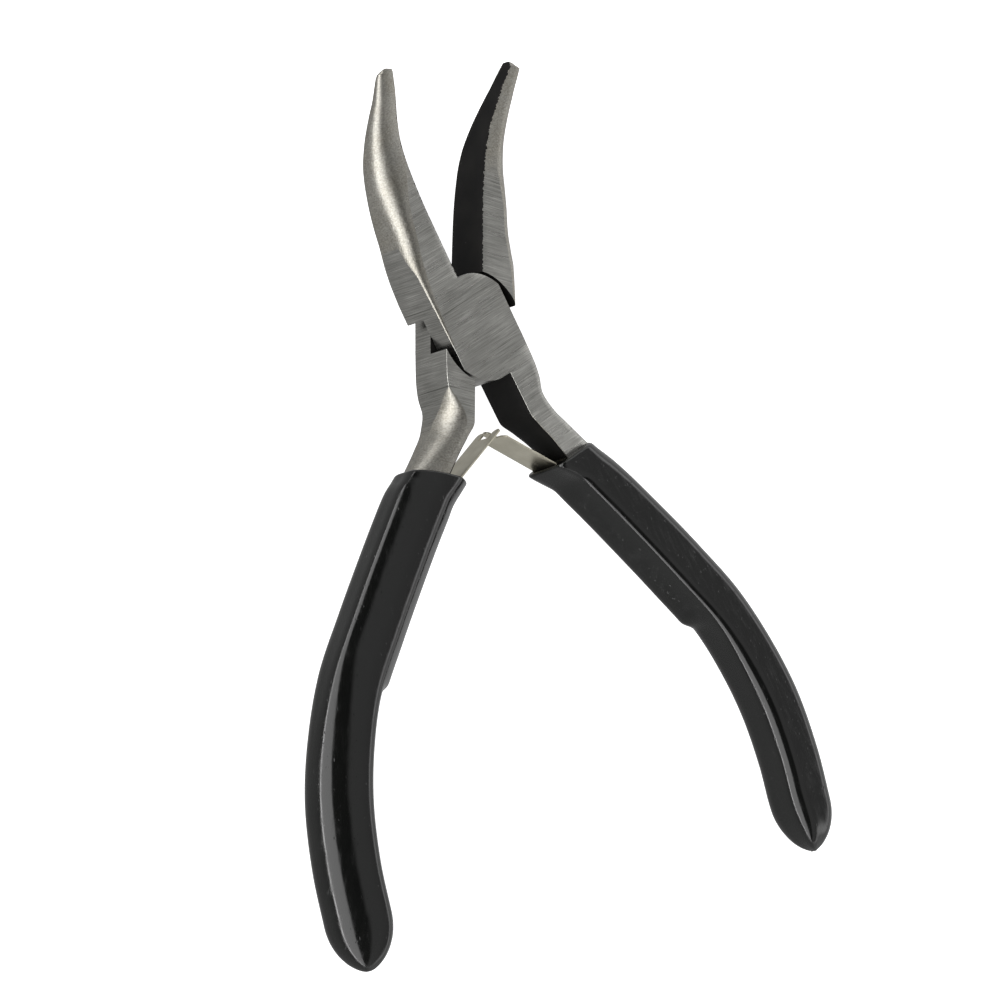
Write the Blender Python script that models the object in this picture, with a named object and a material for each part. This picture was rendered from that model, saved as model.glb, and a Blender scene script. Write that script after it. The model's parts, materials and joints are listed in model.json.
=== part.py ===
"""Mini bent nose pliers with leaf springs, lying on their side.

Frame: the joint axis is Z, the flat underside of the joint is z = 0, the handles run towards -Y
and the jaws towards +Y, and the tips of the nose bend up towards +Z.

Each half is described in the pose where the jaws are shut, then turned about the joint axis by
half of the opening angle. Half A holds the left jaw and the right handle; half B is its mirror
image, with its leaf on the other side of the lap joint.
"""
import math
from functools import partial

import bmesh
import bpy
from mathutils import Matrix, Vector

MM = 0.001

# Driving dimensions, in millimetres.
OPEN_HALF = math.radians(17.7)     # each half turns this far from the shut pose to the rest pose
GAP = 0.3                          # running clearance between separate pieces

JOINT_T = 6.6                      # thickness of the joint
JOINT_HALF_W = 6.8                 # half width of the joint across its ground sides
LOBE_R = 7.8                       # radius of the round leaf of each half
RECESS_R = LOBE_R + GAP            # radius of the recess that the other leaf turns in
RIVET_R = 2.2
RIVET_HEAD_R = 3.0
RIVET_HEAD_H = 0.8

JAW_FACE = 0.12                    # distance of each gripping face from the shut plane
# Each profile is (distance along the jaw, value).
JAW_TOP = [(7.8, 6.6), (18, 6.7), (24, 7.1), (28, 7.8), (31, 8.9), (34.5, 10.7), (38.6, 12.9)]
JAW_BOTTOM = [(7.8, 0.0), (18, 0.5), (24, 1.3), (27, 2.2), (30, 3.9), (34, 7.1), (38.6, 11.6)]
JAW_WIDTH = [(7.8, 6.8), (12.5, 6.7), (17, 6.0), (22, 5.4), (28, 4.4), (33, 3.5), (38.6, 2.3)]
JAW_ROUND = [(7.8, 0.05), (13.0, 0.1), (21.0, 0.55), (27.0, 0.85), (38.6, 0.9)]
JAW_END = 38.4
JAW_NOSE = 0.4                     # length of the rounded end of the jaw
JAW_EDGE_R = 0.05                  # radius along the edges of the gripping face

# Neck of the handle: (distance below the joint axis, value).
HANDLE_INNER = [(7.75, 1.3), (14.2, 1.4), (16.5, 2.2), (19, 3.5), (22.8, 5.15)]
HANDLE_OUTER = [(3.9, 6.8), (8.0, 6.7), (10.6, 6.3), (12.8, 5.6), (15.4, 6.2), (18.4, 7.9),
                (22.8, 10.75)]
NECK_BOTTOM = [(7.75, 0.0), (14.0, 0.0), (18, 0.5), (22.8, 1.1)]
NECK_TOP = [(7.75, 6.6), (15.0, 6.6), (18, 6.4), (22.8, 5.8)]
NECK_ROUND = [(7.75, 0.04), (10.5, 0.08), (13.5, 0.5), (17, 0.8), (22.8, 0.8)]
NECK_ROUND_W = 2.3                 # widest corner radius of the neck, across it
NECK_INNER_SHARE = 0.4             # corner radius of the inner side, as a share of the outer one
GROUND_EDGE = 0.12                 # smallest corner radius, on the ground part

# Centre line of the handle bar inside the sleeve, from the mouth to the end.
BAR_LINE = [(7.85, -22.8), (11.2, -29.4), (15.0, -37.8), (18.6, -46.2), (21.9, -54.6),
            (23.5, -63.0), (23.8, -71.4), (22.5, -79.8), (20.3, -87.2), (18.4, -93.6)]
BAR_HALF_W = 2.7
BAR_BOTTOM = 1.1
BAR_TOP = 5.6
BAR_CORNER = (1.5, 1.6)            # corner radii, across and in height
BAR_END = 0.955                    # share of the centre line that the steel bar fills

GRIP_BOTTOM = 0.0
GRIP_TOP = 7.2
GRIP_HALF_W = 4.05
GRIP_SWELL = 0.25                  # extra half width low on the grip
GRIP_CORNER = 2.3
GRIP_NOSE = 0.12                   # share of the line taken by the rounded end
GRIP_NOSE_POWER = 0.62             # 0.5 is an elliptical end, more is a pointed one
BULGE = 0.9                        # extra width over the spring, on the inner side
BULGE_END = 0.44                   # share of the line where the bulge ends
LIP_FLARE = 0.8                    # extra width at the mouth, on the inner side
LIP_END = 0.06                     # share of the line where the flare ends
POCKET = 1.35                      # room for the spring and its rivet beside the bar
POCKET_MOUTH = 1.05                # extra room at the mouth, where the spring leaves the sleeve
POCKET_CORNER = 0.7

SPRING_T = 0.25
SPRING_W = 4.2
SPRING_HINGE = (5.75, -25.8)       # where the free leaf starts to bend, in the shut pose
SPRING_ANGLE = math.radians(131.5)  # direction of the free leaf in the shut frame, at rest
SPRING_L = 16.5
SPRING_NECK = 14.6                 # distance along the leaf of the shoulders and of the slot's end
SHOULDER_R = 0.4
TONGUE_W = 1.4
SLOT_W = 2.0
ROOT_END = (14.35, -43.9)          # lower end of the anchored part of the spring
ANCHOR_SHARE = 0.86                # place of the anchor rivet along the anchored part
ANCHOR_R = 0.8
ANCHOR_HEAD_R = 1.4
ANCHOR_HEAD_H = 0.45
ANCHOR_DEPTH = 2.2

CORNER_STEPS = 3
SMOOTH_DEG = 35                    # edges sharper than this stay sharp
GRIP_SMOOTH_DEG = 50
TURNED_STEPS = 28                  # sides of the rivets and their holes
ANCHOR_STEPS = 16                  # sides of the small rivets of the springs
ARC_STEPS = 5                      # steps of a corner of the spring strip
TONGUE_STEPS = 8                   # steps of the round end of the tongue
RECESS_STEPS = 72                  # sides of the recess that the other leaf turns in
JAW_STATIONS = 24                  # sections along the jaw, crowded towards the tip
JAW_CROWDING = 1.15
JAW_TIP_SHARE = 0.04               # how far into the rounded end the last section lies
LOBE_STATIONS = 8                  # sections over each round end of the leaf
LOBE_JAW_ANGLE = 0.06              # radians from Y of the section next to the jaw
LOBE_NECK_ANGLE = 0.16             # radians from -Y of the section next to the neck
NECK_STATIONS = 15
BAR_STATIONS = 20
BAR_START = 0.02
BAR_NOSE = 0.04                    # share of the line taken by the bar's rounded end
BAR_TIP_SHARE = 0.25
HOLLOW_STATIONS = 24
HOLLOW_END = 0.005                 # share of the line that the hollow goes past the bar
GRIP_STATIONS = 40
GRIP_TIP_SHARE = 0.02
SQUARE_FROM = 0.12                 # share of the line from which the sections stand square to it
SWELL_FROM, SWELL_TO = 0.45, 0.7   # shares of the line between which the swell grows
BULGE_FADE = (0.02, 0.015)         # shares of the line before and after the bulge's end
POCKET_FADE = (0.06, 0.03)         # shares of the line before the bulge's end
CUT_MARGIN = 1.0                   # how far a cutter stands out of what it cuts
RIM_TAPER = 0.8                    # top radius of the small rivet's head, as a share
MID_Z = (BAR_BOTTOM + BAR_TOP) / 2


def profile(points):
    """Smooth curve through (u, value) points, without overshoot."""
    us = [p[0] for p in points]
    vs = [p[1] for p in points]
    slopes = [(vs[i + 1] - vs[i]) / (us[i + 1] - us[i]) for i in range(len(us) - 1)]
    tangents = [slopes[0]]
    for before, after in zip(slopes, slopes[1:]):
        tangents.append(0.0 if before * after <= 0 else 2 * before * after / (before + after))
    tangents.append(slopes[-1])

    def value(u):
        u = min(max(u, us[0]), us[-1])
        i = max(k for k in range(len(us) - 1) if us[k] <= u)
        h = us[i + 1] - us[i]
        t = (u - us[i]) / h
        return ((2 * t ** 3 - 3 * t ** 2 + 1) * vs[i] + (t ** 3 - 2 * t ** 2 + t) * h * tangents[i]
                + (3 * t ** 2 - 2 * t ** 3) * vs[i + 1] + (t ** 3 - t ** 2) * h * tangents[i + 1])

    return value


def bar_point(share):
    """Point and direction on the centre line of the handle bar, by share of its length."""
    points = [Vector(p) for p in BAR_LINE]
    place = min(max(share, 0.0), 1.0) * (len(points) - 1)
    i = min(int(place), len(points) - 2)
    t = place - i
    p1, p2 = points[i], points[i + 1]
    p0 = points[i - 1] if i else 2 * p1 - p2
    p3 = points[i + 2] if i + 2 < len(points) else 2 * p2 - p1
    at = 0.5 * (2 * p1 + (p2 - p0) * t + (2 * p0 - 5 * p1 + 4 * p2 - p3) * t ** 2
                + (3 * p1 - p0 - 3 * p2 + p3) * t ** 3)
    along = (p2 - p0) + 2 * (2 * p0 - 5 * p1 + 4 * p2 - p3) * t + 3 * (3 * p1 - p0 - 3 * p2 + p3) * t ** 2
    return at, along.normalized()


def smoothstep(low, high, u):
    t = min(max((u - low) / (high - low), 0.0), 1.0)
    return t * t * (3 - 2 * t)


def section(left, right, bottom, top, left_r, right_r):
    """Rounded rectangle as (across, height) points; each radius is (across, height)."""
    corners = [((left, bottom), left_r, math.pi), ((right, bottom), right_r, 1.5 * math.pi),
               ((right, top), right_r, 0.0), ((left, top), left_r, 0.5 * math.pi)]
    ring = []
    for (x, z), (rx, rz), start in corners:
        cx = x + rx if x == left else x - rx
        cz = z + rz if z == bottom else z - rz
        for i in range(CORNER_STEPS + 1):
            a = start + 0.5 * math.pi * i / CORNER_STEPS
            ring.append((cx + rx * math.cos(a), cz + rz * math.sin(a)))
    return ring


def lay_ring(ring, at, across):
    """Place a section's points in space; across is its unit vector in the XY plane."""
    return [Vector((at.x + across.x * u, at.y + across.y * u, z)) for u, z in ring]


def straight_ring(y, *args):
    return lay_ring(section(*args), Vector((0.0, y)), Vector((1.0, 0.0)))


def skin(bm, rings):
    """Join a list of rings by quads, and give the first and the last loop of vertices."""
    loops = [[bm.verts.new(p * MM) for p in ring] for ring in rings]
    for here, there in zip(loops, loops[1:]):
        bridge(bm, here, there)
    return loops[0], loops[-1]


def bridge(bm, here, there):
    for i in range(len(here)):
        j = (i + 1) % len(here)
        bm.faces.new((here[i], there[i], there[j], here[j]))


def loft(rings):
    """Solid through a list of rings."""
    bm = bmesh.new()
    first, last = skin(bm, rings)
    bm.faces.new(first)
    bm.faces.new(last)
    return bm


def material(name, colour, roughness, metallic):
    if name in bpy.data.materials:
        return bpy.data.materials[name]
    result = bpy.data.materials.new(name)
    result.use_nodes = True
    shader = result.node_tree.nodes["Principled BSDF"]
    shader.inputs["Base Color"].default_value = (*colour, 1.0)
    shader.inputs["Roughness"].default_value = roughness
    shader.inputs["Metallic"].default_value = metallic
    return result


STEEL = partial(material, "brushed steel", (0.30, 0.30, 0.28), 0.38, 1.0)
PVC = partial(material, "black sleeve", (0.012, 0.012, 0.012), 0.28, 0.0)
NICKEL = partial(material, "spring nickel", (0.45, 0.43, 0.36), 0.3, 1.0)


def add_object(name, bm, parent, finish, mirrored=False, smooth_angle=SMOOTH_DEG):
    """Make a named object from a bmesh; mirrored flips it to the other half."""
    if mirrored:
        bmesh.ops.scale(bm, vec=(-1, 1, 1), verts=bm.verts)
    bmesh.ops.recalc_face_normals(bm, faces=bm.faces)
    mesh = bpy.data.meshes.new(name)
    bm.to_mesh(mesh)
    bm.free()
    if finish:
        mesh.materials.append(finish())
    mesh.shade_smooth()
    mesh.set_sharp_from_angle(angle=math.radians(smooth_angle))
    result = bpy.data.objects.new(name, mesh)
    bpy.context.scene.collection.objects.link(result)
    result.parent = parent
    return result


def add_cutter(name, bm, parent, mirrored=False):
    cutter = add_object(name, bm, parent, None, mirrored)
    cutter.hide_render = True
    cutter.display_type = "WIRE"
    return cutter


def cut(target, cutter):
    modifier = target.modifiers.new(cutter.name, "BOOLEAN")
    modifier.operation = "DIFFERENCE"
    modifier.object = cutter


def turned(profile_points, segments=TURNED_STEPS):
    """Solid of revolution about Z from (radius, height) points that start and end on the axis."""
    bm = bmesh.new()
    verts = [bm.verts.new((r * MM, 0, z * MM)) for r, z in profile_points]
    edges = [bm.edges.new(pair) for pair in zip(verts, verts[1:])]
    bmesh.ops.spin(bm, geom=verts + edges, axis=(0, 0, 1), cent=(0, 0, 0), steps=segments,
                   angle=2 * math.pi)
    bmesh.ops.remove_doubles(bm, verts=bm.verts, dist=0.00001)
    return bm


def jaw_rings():
    top, bottom = profile(JAW_TOP), profile(JAW_BOTTOM)
    width, rounding = profile(JAW_WIDTH), profile(JAW_ROUND)
    rings = []
    for i in range(JAW_STATIONS + 1):
        share = 1 - (1 - i / JAW_STATIONS) ** JAW_CROWDING
        y = JAW_END - (JAW_END - LOBE_R - JAW_EDGE_R) * share
        nose = min(1.0, (JAW_END - y) / JAW_NOSE + JAW_TIP_SHARE)
        size = math.sqrt(1 - (1 - nose) ** 2)
        half = (top(y) - bottom(y)) / 2 * size
        middle = (top(y) + bottom(y)) / 2
        w = JAW_FACE + (width(y) - JAW_FACE) * size
        r = rounding(y)
        outer = (max(r * (w - JAW_FACE), JAW_EDGE_R), max(r * half, JAW_EDGE_R))
        inner = (JAW_EDGE_R, JAW_EDGE_R)
        rings.append(straight_ring(y, -w, -JAW_FACE, middle - half, middle + half, outer, inner))
    return rings


def joint_rings():
    """Sections across the round leaf, from the jaw side to the handle side."""
    edge = (GROUND_EDGE, GROUND_EDGE)
    limit = math.asin(JOINT_HALF_W / LOBE_R)
    outer = profile(HANDLE_OUTER)
    rings = []
    for i in range(LOBE_STATIONS + 1):
        a = LOBE_JAW_ANGLE + (limit - LOBE_JAW_ANGLE) * i / LOBE_STATIONS
        rings.append(straight_ring(LOBE_R * math.cos(a), -JOINT_HALF_W, LOBE_R * math.sin(a),
                                   0, JOINT_T, edge, edge))
    rings.append(straight_ring(0.0, -JOINT_HALF_W, JOINT_HALF_W, 0, JOINT_T, edge, edge))
    for i in range(LOBE_STATIONS + 1):
        a = limit + (LOBE_NECK_ANGLE - limit) * i / LOBE_STATIONS
        y = -LOBE_R * math.cos(a)
        rings.append(straight_ring(y, -LOBE_R * math.sin(a), outer(-y), 0, JOINT_T, edge, edge))
    return rings


def neck_rings():
    inner, outer = profile(HANDLE_INNER), profile(HANDLE_OUTER)
    bottom, top, rounding = profile(NECK_BOTTOM), profile(NECK_TOP), profile(NECK_ROUND)
    rings = []
    start, end = HANDLE_INNER[0][0], HANDLE_INNER[-1][0]
    for i in range(NECK_STATIONS + 1):
        d = start + (end - start) * i / NECK_STATIONS
        half = (top(d) - bottom(d)) / 2
        r = rounding(d)
        right_r = (max(r * NECK_ROUND_W, GROUND_EDGE), max(r * half, GROUND_EDGE))
        left_r = tuple(max(NECK_INNER_SHARE * value, GROUND_EDGE) for value in right_r)
        rings.append(straight_ring(-d, inner(d), outer(d), bottom(d), top(d), left_r, right_r))
    return rings


def bar_across(share):
    """Direction across the handle: along X at the mouth, square to the line lower down."""
    _, along = bar_point(share)
    square = Vector((-along.y, along.x))
    return Vector((1.0, 0.0)).lerp(square, smoothstep(0.0, SQUARE_FROM, share)).normalized()


def bar_rings(grow=0.0, pocket=False, start=0.0, end=BAR_END, count=BAR_STATIONS):
    """Sections of the handle bar; grow and pocket make the hollow of the sleeve from it."""
    rings = []
    for i in range(count + 1):
        share = start + (end - start) * i / count
        at, _ = bar_point(share)
        nose = min(1.0, (end - share) / BAR_NOSE + BAR_TIP_SHARE)
        size = math.sqrt(1 - (1 - nose) ** 2)
        half_w = BAR_HALF_W * size + grow
        half_t = (BAR_TOP - BAR_BOTTOM) / 2 * size + grow
        radius = (BAR_CORNER[0] * size, BAR_CORNER[1] * size)
        left, left_radius = half_w, radius
        if pocket:
            left += pocket_depth(share)
            left_radius = (POCKET_CORNER * size, POCKET_CORNER * size)
        ring = section(-left, half_w, MID_Z - half_t, MID_Z + half_t, left_radius, radius)
        rings.append(lay_ring(ring, at, bar_across(share)))
    return rings


def pocket_depth(share):
    """Depth of the spring's pocket beyond the hollow for the bar."""
    depth = POCKET + POCKET_MOUTH * (1 - smoothstep(0.0, LIP_END, share))
    return depth * (1 - smoothstep(BULGE_END - POCKET_FADE[0], BULGE_END - POCKET_FADE[1], share))


def half_body(name, parent, mirrored):
    rings = jaw_rings() + joint_rings() + neck_rings() + bar_rings(start=BAR_START)
    body = add_object(name, loft(rings), parent, STEEL, mirrored)
    # The other half's leaf turns in this recess.
    floor = JOINT_T / 2 - GAP / 2 if mirrored else JOINT_T / 2 + GAP / 2
    past = JOINT_T + CUT_MARGIN if mirrored else -CUT_MARGIN
    low, high = min(floor, past), max(floor, past)
    recess = turned([(0, low), (RECESS_R, low), (RECESS_R, high), (0, high)], RECESS_STEPS)
    cut(body, add_cutter(name + "_recess_cutter", recess, parent))
    cut(body, add_cutter(name + "_rivet_cutter", turned(rivet_profile(GAP)), parent))
    anchor = add_cutter(name + "_anchor_cutter", turned(anchor_profile(GAP)), parent)
    place_anchor(anchor, mirrored)
    cut(body, anchor)
    return body


def rivet_profile(grow):
    """Countersunk at both ends; grow gives the hole that it sits in."""
    low, high = (-CUT_MARGIN, JOINT_T + CUT_MARGIN) if grow else (0.0, JOINT_T)
    shank, head = RIVET_R + grow, RIVET_HEAD_R + grow
    points = [(0, low), (head, low)]
    if grow:
        points.append((head, 0.0))
    points += [(shank, RIVET_HEAD_H), (shank, JOINT_T - RIVET_HEAD_H)]
    if grow:
        points.append((head, JOINT_T))
    return points + [(head, high), (0, high)]


def anchor_profile(grow):
    """Small rivet along its own Z: the head is at z > 0, the shank in the bar at z < 0."""
    shank = ANCHOR_R + grow
    depth = ANCHOR_DEPTH + grow
    if grow:
        return [(0, -depth), (shank, -depth), (shank, 2 * CUT_MARGIN), (0, 2 * CUT_MARGIN)]
    base = SPRING_T + 2 * GAP
    return [(0, -depth), (shank, -depth), (shank, base), (ANCHOR_HEAD_R, base),
            (ANCHOR_HEAD_R * RIM_TAPER, base + ANCHOR_HEAD_H), (0, base + ANCHOR_HEAD_H)]


def root_direction():
    return (Vector(ROOT_END) - Vector(SPRING_HINGE)).normalized()


def place_anchor(obj, mirrored):
    """Stand the small rivet on the anchored part of the spring, square to it."""
    along = root_direction()
    out = Vector((along.y, -along.x))
    at = Vector(SPRING_HINGE).lerp(Vector(ROOT_END), ANCHOR_SHARE) - out * (SPRING_T / 2 + GAP)
    axis = Vector((out.x, out.y, 0))
    if mirrored:
        axis.x = -axis.x
        at.x = -at.x
    obj.matrix_local = (Matrix.Translation(Vector((at.x, at.y, MID_Z)) * MM)
                        @ axis.to_track_quat("Z", "Y").to_matrix().to_4x4())


def grip(name, parent, mirrored):
    """Dipped sleeve: outer skin and inner hollow joined at the mouth, closed at the end."""
    outer = []
    middle = (GRIP_TOP + GRIP_BOTTOM) / 2
    for i in range(GRIP_STATIONS + 1):
        share = i / GRIP_STATIONS
        at, _ = bar_point(share)
        nose = min(1.0, (1 - share) / GRIP_NOSE + GRIP_TIP_SHARE)
        size = (1 - (1 - nose) ** 2) ** GRIP_NOSE_POWER
        half_w = (GRIP_HALF_W + GRIP_SWELL * smoothstep(SWELL_FROM, SWELL_TO, share)) * size
        left = half_w + BULGE * (1 - smoothstep(BULGE_END - BULGE_FADE[0], BULGE_END + BULGE_FADE[1], share))
        left += LIP_FLARE * (1 - smoothstep(0.0, LIP_END, share))
        half_t = (GRIP_TOP - GRIP_BOTTOM) / 2 * size
        r = (GRIP_CORNER * size, GRIP_CORNER * size)
        outer.append(lay_ring(section(-left, half_w, middle - half_t, middle + half_t, r, r),
                              at, bar_across(share)))
    inner = bar_rings(grow=GAP, pocket=True, end=BAR_END + HOLLOW_END, count=HOLLOW_STATIONS)
    bm = bmesh.new()
    outer_mouth, outer_end = skin(bm, outer)
    inner_mouth, inner_end = skin(bm, inner)
    bm.faces.new(outer_end)
    bm.faces.new(inner_end)
    bridge(bm, outer_mouth, inner_mouth)
    return add_object(name, bm, parent, PVC, mirrored, GRIP_SMOOTH_DEG)


def plate(outline, thickness):
    """Flat plate from an outline in its own XZ plane, thickness along Y about the middle."""
    bm = bmesh.new()
    face = bm.faces.new([bm.verts.new((x * MM, -thickness / 2 * MM, z * MM)) for x, z in outline])
    top = bmesh.ops.extrude_face_region(bm, geom=[face])
    bmesh.ops.translate(bm, vec=(0, thickness * MM, 0),
                        verts=[g for g in top["geom"] if isinstance(g, bmesh.types.BMVert)])
    return bm


def arc(cx, cz, r, start, end, steps=ARC_STEPS):
    angles = [math.radians(start + (end - start) * i / steps) for i in range(steps + 1)]
    return [(cx + r * math.cos(a), cz + r * math.sin(a)) for a in angles]


def tongue_outline():
    """Free leaf with shoulders and a narrow tongue with a round end."""
    h, t, r = SPRING_W / 2, TONGUE_W / 2, SHOULDER_R
    upper = [(0, h)] + arc(SPRING_NECK - r, h - r, r, 90, 0) + [(SPRING_NECK, t)]
    tip = arc(SPRING_L - t, 0, t, 90, -90, TONGUE_STEPS)
    lower = [(x, -z) for x, z in reversed(upper)]
    return list(reversed(upper + tip + lower))


def fork_outline():
    """Free leaf whose end is a fork of two prongs with round ends."""
    h, s = SPRING_W / 2, SLOT_W / 2
    r = (h - s) / 2
    upper = [(0, h)] + arc(SPRING_L - r, h - r, r, 90, -90) + [(SPRING_NECK, s)]
    lower = [(x, -z) for x, z in reversed(upper)]
    return list(reversed(upper + lower))


def free_leaf(name, outline, parent, mirrored):
    """Free part of the spring, with its origin on the line where it bends."""
    start = GAP / 2
    bm = plate([(max(x, start), z) for x, z in outline], SPRING_T)
    leaf = add_object(name, bm, parent, NICKEL)
    x, y = SPRING_HINGE
    angle = math.pi - SPRING_ANGLE if mirrored else SPRING_ANGLE
    leaf.location = (-x * MM if mirrored else x * MM, y * MM, MID_Z * MM)
    leaf.rotation_euler = (0, 0, angle)
    return leaf


def spring_root(name, parent, mirrored):
    """Anchored part of the spring, along the inner side of the handle bar."""
    start, end = Vector(SPRING_HINGE), Vector(ROOT_END)
    length = (end - start).length
    h = SPRING_W / 2
    outline = [(GAP, -h), (length, -h), (length, h), (GAP, h)]
    root = add_object(name, plate(outline, SPRING_T), parent, NICKEL)
    along = root_direction()
    angle = math.atan2(along.y, along.x)
    root.location = (-start.x * MM if mirrored else start.x * MM, start.y * MM, MID_Z * MM)
    root.rotation_euler = (0, 0, math.pi - angle if mirrored else angle)
    hole = add_cutter(name + "_hole_cutter", turned(anchor_profile(GAP)), parent)
    place_anchor(hole, mirrored)
    cut(root, hole)
    return root


def build():
    for obj in list(bpy.data.objects):
        bpy.data.objects.remove(obj)
    for letter, turn, mirrored in (("a", OPEN_HALF, False), ("b", -OPEN_HALF, True)):
        axis = bpy.data.objects.new("joint_axis_" + letter, None)
        axis.rotation_euler = (0, 0, turn)
        bpy.context.scene.collection.objects.link(axis)
        half_body("half_" + letter, axis, mirrored)
        grip("grip_" + letter, axis, mirrored)
        outline = fork_outline() if mirrored else tongue_outline()
        free_leaf("spring_leaf_" + letter, outline, axis, mirrored)
        spring_root("spring_root_" + letter, axis, mirrored)
        rivet = add_object("spring_rivet_" + letter, turned(anchor_profile(0.0), ANCHOR_STEPS), axis, STEEL)
        place_anchor(rivet, mirrored)
    add_object("pivot_rivet", turned(rivet_profile(0.0)), None, STEEL)


build()
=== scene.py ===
"""Looks of the small bent nose pliers: ground and forged steel halves, dipped sleeves and leaf springs.

Lengths are in millimetres unless a name ends in _M. Each half is modelled in the frame of the shut
pliers (joint axis at x = y = 0, jaws towards +Y, half A's jaw at -X and its handle at +X) and
then turned to the open rest pose. Half B is the mirror image with its leaf underneath.
"""

import json
import math

import bmesh
import bpy
from mathutils import Matrix, Vector


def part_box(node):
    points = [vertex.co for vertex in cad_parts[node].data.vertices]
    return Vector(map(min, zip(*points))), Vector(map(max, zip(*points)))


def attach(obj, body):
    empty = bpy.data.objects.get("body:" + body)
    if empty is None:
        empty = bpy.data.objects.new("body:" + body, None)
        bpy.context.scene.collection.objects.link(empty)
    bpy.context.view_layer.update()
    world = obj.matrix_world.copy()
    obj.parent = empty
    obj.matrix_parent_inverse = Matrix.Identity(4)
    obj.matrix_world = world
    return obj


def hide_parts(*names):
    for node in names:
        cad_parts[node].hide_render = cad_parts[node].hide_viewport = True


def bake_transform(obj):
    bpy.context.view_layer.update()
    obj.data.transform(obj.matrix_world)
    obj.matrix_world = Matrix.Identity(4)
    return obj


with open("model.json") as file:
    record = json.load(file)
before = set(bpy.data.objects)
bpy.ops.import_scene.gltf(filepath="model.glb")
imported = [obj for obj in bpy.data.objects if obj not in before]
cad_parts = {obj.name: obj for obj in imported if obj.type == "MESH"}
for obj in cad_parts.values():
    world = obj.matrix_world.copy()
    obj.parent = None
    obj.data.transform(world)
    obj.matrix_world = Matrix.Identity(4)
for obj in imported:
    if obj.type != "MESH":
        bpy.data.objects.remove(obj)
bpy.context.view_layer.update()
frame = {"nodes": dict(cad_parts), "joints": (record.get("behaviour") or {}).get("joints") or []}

MM = 0.001
JOINTS = {joint["name"]: joint for joint in frame["joints"]}
OPEN_HALF = math.radians(JOINTS["jaw_pivot"]["range_deg"][1]) / 2
JOINT_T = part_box("pivot_rivet")[1].z / MM
GRIP_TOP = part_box("grip_a")[1].z / MM
GAP = 0.1                          # visible clearance between the two leaves

JOINT_HALF_W = 6.8
LOBE_R = 7.8
RECESS_R = 8.25
RIVET_R = 2.2
RIVET_HEAD_R = 3.0
RIVET_HEAD_H = 0.8
RIVET_SKIN = 0.4                   # steel left over the blind upper end of the rivet
RIVET_CLEARANCE = 0.02
GROUND_EDGE = 0.1                  # smallest round of a ground edge
ARC_START, ARC_END = 0.06, 0.16    # angles at which the round leaf meets the jaw and the neck, in radians

# Jaw profiles: (distance along the jaw from the joint axis, value).
JAW_FACE = 0.12
JAW_END = 38.4
JAW_ROOT_GAP = 0.05                # the jaw's last section stands this far off the round leaf
FACE_EDGE = 0.05                   # round of the gripping face's edges
JAW_TOP = [(7.8, 6.6), (18, 6.7), (24, 7.1), (28, 7.8), (31, 8.9), (34.5, 10.7), (38.6, 12.9)]
JAW_BOTTOM = [(7.8, 0.0), (18, 0.5), (24, 1.3), (27, 2.2), (30, 3.9), (34, 7.1), (38.6, 11.6)]
JAW_WIDTH = [(7.8, 6.8), (12.5, 6.7), (17, 6.0), (22, 5.4), (28, 4.4), (33, 3.5), (38.6, 2.3)]
# Shares of the width and of the height that the forged round outer corner takes.
CORNER_W = [(-5, 0.014), (4, 0.07), (10, 0.17), (14, 0.3), (18.5, 0.44), (22, 0.64), (25, 0.86),
            (38.6, 0.92)]
CORNER_H = [(-5, 0.014), (4, 0.045), (10.5, 0.1), (12.5, 0.2), (15.5, 0.34), (20, 0.48), (26, 0.6),
            (38.6, 0.66)]
CORNER_LOW = 0.42                  # lower outer corner, as a share of the upper one
CORNER_B = 0.6                     # upper outer corner of half B's jaw, as a share of half A's
CORNER_B_SPAN = (12.0, 20.0)       # where along the jaw that share comes in
TIP_ROUND = (0.6, 0.2)             # length of the rounded tip of half A and of half B
TIP_START = 0.03                   # share of the rounding at which the end face stands
TIP_MIDDLE = (0.5, 0.1)            # where the tip's centre lies, as a share from the face outwards
TIP_TILT = (0.1, 0.5)              # the tip is square to the bent nose: its top lies back by this slope
TIP_REACH = (0.6, 0.0)             # how much further out each tip stands
TIP_TILT_FROM = 35.0
SIDE_GROUND_END = 15.5             # the ground outer side of the jaw ends here

# Neck profiles: (distance below the joint axis, value).
HANDLE_INNER = [(7.75, 1.3), (14.2, 1.4), (16.5, 2.2), (19, 3.5), (22.8, 5.15)]
HANDLE_OUTER = [(3.9, 6.8), (8.0, 6.7), (10.6, 6.3), (12.8, 5.6), (15.4, 6.2), (18.4, 7.9),
                (22.8, 10.75)]
NECK_BOTTOM = [(7.75, 0.0), (14.0, 0.0), (18, 0.5), (22.8, 1.1)]
NECK_TOP = [(7.75, 6.6), (15.0, 6.6), (18, 6.4), (22.8, 5.8)]
# Round corners of the neck, as shares of its width and height, on the forged and on the ground side.
FORGED_W = [(10.2, 0.02), (12, 0.34), (14.5, 0.66), (22.8, 0.7)]
FORGED_H = [(10.2, 0.02), (11.5, 0.26), (13.3, 0.5), (15, 0.6), (22.8, 0.62)]
GROUND_W = [(10.2, 0.02), (16, 0.1), (22.8, 0.17)]
GROUND_H = [(10.2, 0.02), (16, 0.1), (22.8, 0.2)]
NECK_ROUND_START = 10.2
INSIDE_W, INSIDE_H = 0.11, 0.2     # round inner corner of the neck, as shares of its width and height
INSIDE_SPAN = (14.0, 17.0)         # where that corner comes in
NECK_GROUND_FADE_M = (0.0135, 0.0165)    # the ground skin of the neck fades out between these

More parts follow.
